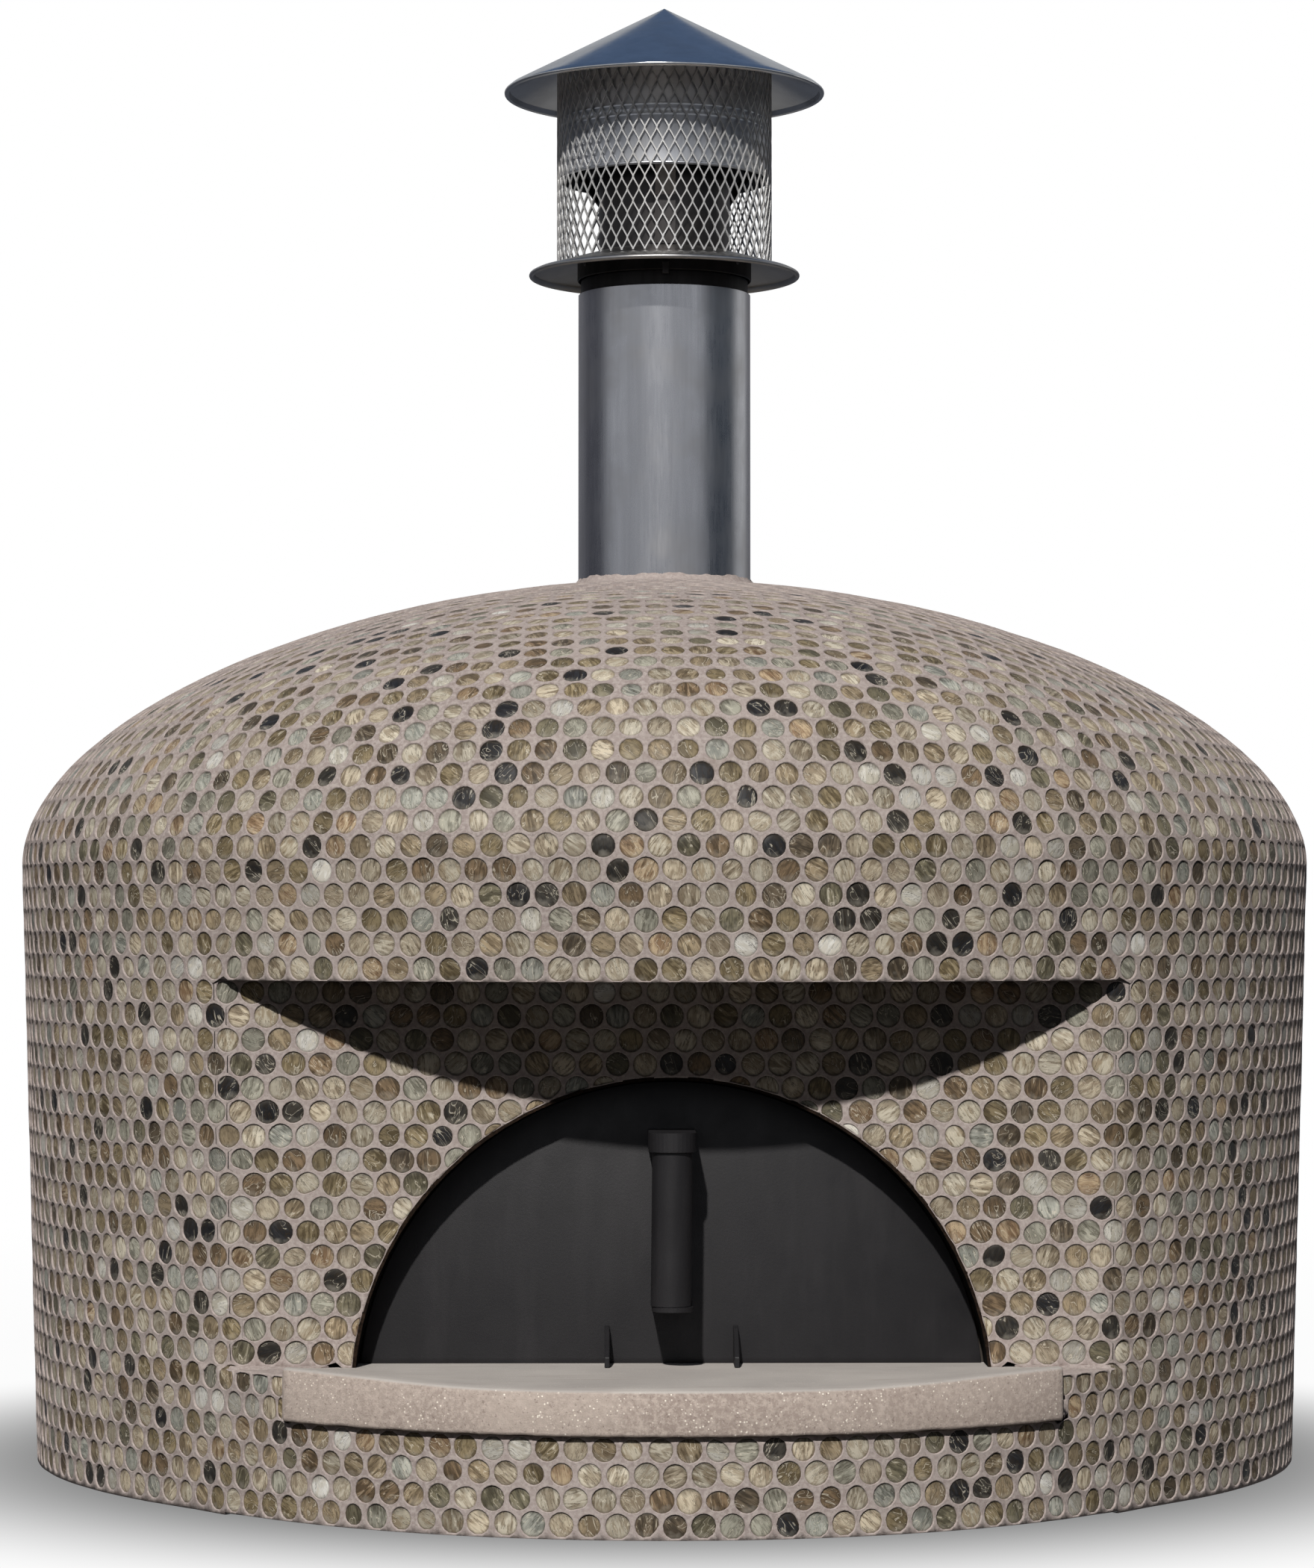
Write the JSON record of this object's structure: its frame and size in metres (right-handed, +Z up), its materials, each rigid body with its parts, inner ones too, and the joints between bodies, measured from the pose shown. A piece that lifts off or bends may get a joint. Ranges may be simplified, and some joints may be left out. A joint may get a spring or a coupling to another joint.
{
  "type": "wood fired pizza oven",
  "caption": "Round dome oven in penny-round mosaic with an arched mouth, lift-out steel door, stone landing shelf and a flue with a spark-screen cap.",
  "frame": {"origin": "on the oven's vertical axis, at the underside of the base slab", "axes": "+Z up along the flue; the mouth, door and landing shelf face -Y; +X is to the right when facing the mouth"},
  "size_m": [1.139, 1.1781, 1.293],
  "materials": {
    "mosaic": "glossy marbled penny rounds set in matte grout",
    "concrete": "matte cement",
    "shelf_stone": "smooth top, sparkling aggregate on the front edge",
    "render_shell": "matte cement render",
    "insulation": "matte fibre and light insulating fill",
    "refractory": "matte fired refractory",
    "black_steel": "charcoal powder coat, matte",
    "stainless": "bright stainless sheet",
    "cast_iron": "matte casting"
  },
  "bodies": {
    "oven": {"base_slab": "concrete", "insulation_board": "insulation", "floor_tile_front_left": "refractory", "floor_tile_front_middle": "refractory", "floor_tile_front_right": "refractory", "floor_tile_centre_left": "refractory", "floor_tile_centre_middle": "refractory", "floor_tile_centre_right": "refractory", "floor_tile_rear_left": "refractory", "floor_tile_rear_middle": "refractory", "floor_tile_rear_right": "refractory", "dome_segment_front_left": "refractory", "dome_segment_front_right": "refractory", "dome_segment_rear_left": "refractory", "dome_segment_rear_right": "refractory", "mouth_arch": "refractory", "mouth_seal": "insulation", "ceramic_blanket": "insulation", "insulation_fill": "insulation", "wall_shell": "render_shell", "dome_shell": "render_shell", "apron_core": "render_shell", "mosaic_wall": "mosaic", "mosaic_facet": "mosaic", "mosaic_dome": "mosaic", "mosaic_soffit": "mosaic", "mosaic_apron": "mosaic", "arch_frame": "black_steel", "landing_shelf": "shelf_stone", "flue_spigot": "cast_iron", "flue_liner": "stainless", "flue_insulation": "insulation", "flue_rope_seal": "insulation", "flue_pipe": "stainless", "flue_neck": "stainless", "cap_collar": "stainless", "collar_rivet_1": "stainless", "collar_rivet_2": "stainless", "collar_rivet_3": "stainless", "collar_rivet_4": "stainless", "collar_rivet_5": "stainless", "collar_rivet_6": "stainless", "collar_clip": "stainless", "cap_flange": "stainless", "outlet_tube": "stainless", "wind_band": "stainless", "cap_strap_1": "stainless", "cap_strap_2": "stainless", "cap_strap_3": "stainless", "spark_screen": "stainless", "rain_cone": "stainless"},
    "door": {"door_plate": "black_steel", "handle_tube": "black_steel", "handle_top_bracket": "black_steel", "handle_low_bracket": "black_steel", "door_foot_left": "black_steel", "door_foot_right": "black_steel"}
  },
  "joints": [
    {"name": "door_slide", "type": "slide", "parent": "oven", "child": "door", "axis": [0, -1, 0], "range_m": [0, 0.2]}
  ]
}
